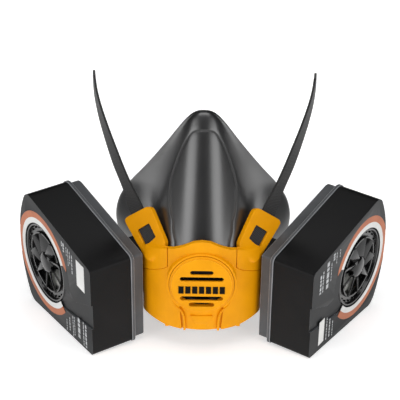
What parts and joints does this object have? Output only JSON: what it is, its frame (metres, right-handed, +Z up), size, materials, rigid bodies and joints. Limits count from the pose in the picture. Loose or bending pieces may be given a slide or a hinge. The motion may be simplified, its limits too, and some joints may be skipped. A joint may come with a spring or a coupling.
{
  "type": "half mask respirator",
  "caption": "Reusable half-mask respirator: dark rubber facepiece, amber front housing with round exhalation cover, strap arms and two angled side cartridges.",
  "frame": {"origin": "centre of the bounding box in X and Y, on the plane that the cartridges stand on", "axes": "+X to the right seen from the front, -Y the front (exhalation valve side), +Z up towards the nose bridge"},
  "size_m": [0.2302, 0.1012, 0.1657],
  "materials": {
    "facepiece_rubber": "satin moulded thermoplastic rubber",
    "amber_plastic": "satin moulded plastic",
    "casing_black": "fine grained moulded plastic",
    "cap_grey": "fine grained moulded plastic",
    "black_plastic": "moulded plastic",
    "mark_black": "printed",
    "silicone": "translucent soft silicone",
    "webbing": "woven elastic webbing",
    "white_ink": "printed band",
    "brown_ink": "printed band",
    "filter_paper": "pleated glass-fibre paper",
    "steel_mesh": "perforated sheet",
    "carbon": "granular activated carbon"
  },
  "bodies": {
    "mask": {"facepiece": "facepiece_rubber", "front_housing": "amber_plastic", "valve_seat": "black_plastic", "strap_arm_left": "amber_plastic", "strap_arm_right": "amber_plastic", "strap_bar_left": "black_plastic", "strap_bar_right": "black_plastic", "strap_left": "webbing", "strap_right": "webbing", "port_left": "black_plastic", "port_right": "black_plastic", "port_ring_left": "black_plastic", "port_ring_right": "black_plastic", "port_gasket_left": "silicone", "port_gasket_right": "silicone"},
    "cartridge_left": {"casing_left": "casing_black", "back_cap_left": "cap_grey", "socket_left": "cap_grey", "inlet_grille_left": "casing_black", "white_band_left": "white_ink", "colour_band_left": "brown_ink", "dust_pleats_left": "filter_paper", "front_screen_left": "steel_mesh", "carbon_bed_left": "carbon", "rear_screen_left": "steel_mesh"},
    "cartridge_right": {"casing_right": "casing_black", "back_cap_right": "cap_grey", "socket_right": "cap_grey", "inlet_grille_right": "casing_black", "white_band_right": "white_ink", "colour_band_right": "brown_ink", "dust_pleats_right": "filter_paper", "front_screen_right": "steel_mesh", "carbon_bed_right": "carbon", "rear_screen_right": "steel_mesh"},
    "valve_cover": {"valve_cover": "amber_plastic", "cover_marks": "mark_black"},
    "valve_flap": {"valve_flap": "silicone"},
    "intake_flap_left": {"intake_flap_left": "silicone"},
    "intake_flap_right": {"intake_flap_right": "silicone"}
  },
  "joints": [
    {"name": "cartridge_left_twist", "type": "hinge", "parent": "mask", "child": "cartridge_left", "pos_m": [-0.04931, -0.00428, 0.03866], "axis": [-0.8406, -0.5363, -0.0766], "range_deg": [0, 35]},
    {"name": "cartridge_right_twist", "type": "hinge", "parent": "mask", "child": "cartridge_right", "pos_m": [0.04931, -0.00428, 0.03866], "axis": [-0.8406, 0.5363, 0.0766], "range_deg": [0, 35]},
    {"name": "valve_cover_pull", "type": "slide", "parent": "mask", "child": "valve_cover", "axis": [0, -0.9979, -0.0651], "range_m": [0, 0.008]},
    {"name": "valve_flap_lift", "type": "slide", "parent": "mask", "child": "valve_flap", "axis": [0, -0.9979, -0.0651], "range_m": [0, 0.0015], "stiffness_N_per_m": 20},
    {"name": "intake_flap_left_lift", "type": "slide", "parent": "mask", "child": "intake_flap_left", "axis": [0.8406, 0.5363, 0.0766], "range_m": [0, 0.0015], "stiffness_N_per_m": 20},
    {"name": "intake_flap_right_lift", "type": "slide", "parent": "mask", "child": "intake_flap_right", "axis": [-0.8406, 0.5363, 0.0766], "range_m": [0, 0.0015], "stiffness_N_per_m": 20}
  ]
}
